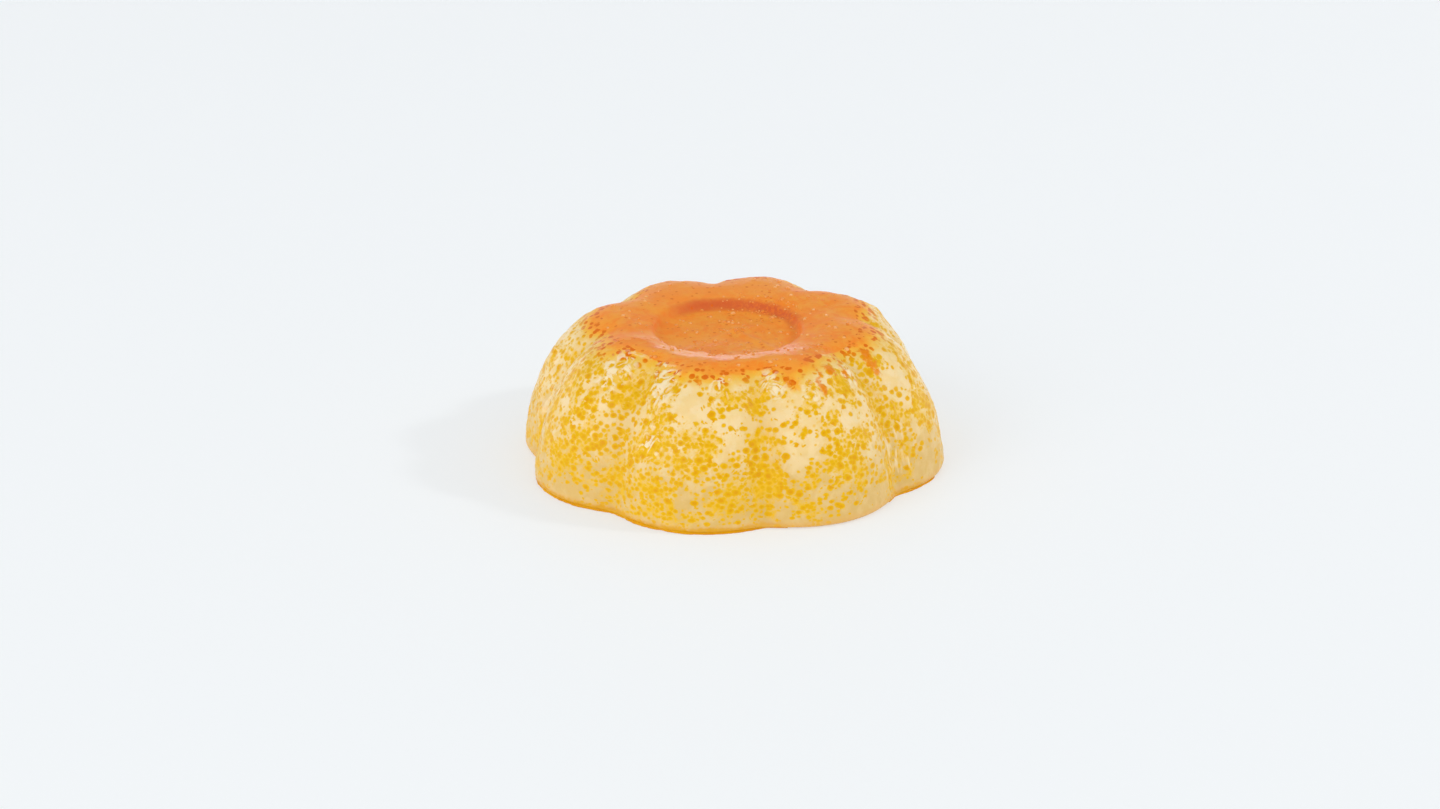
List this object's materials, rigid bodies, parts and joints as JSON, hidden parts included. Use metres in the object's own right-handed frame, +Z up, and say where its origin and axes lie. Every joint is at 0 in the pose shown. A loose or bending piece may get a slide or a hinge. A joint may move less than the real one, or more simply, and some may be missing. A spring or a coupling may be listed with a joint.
{
  "type": "caramel pudding",
  "caption": "Baked egg custard turned out of a fluted round mould, with a lobed wall, a caramel-stained top and a shallow round dimple; rests on its flat underside.",
  "frame": {"origin": "middle of the flat underside, which is the bottom centre of the box", "axes": "+Z up through the dimple; -Y, +Y, +X and -X each run out through a groove between two lobes"},
  "size_m": [0.0922, 0.092, 0.0318],
  "materials": {
    "custard": "moist baked egg custard, cream to yellow with caramel-filled pores, stained orange over the top",
    "caramel": "thin wet caramel syrup, clear orange-brown and glossy"
  },
  "bodies": {
    "root": {"caramel_pudding": "custard"}
  },
  "joints": []
}
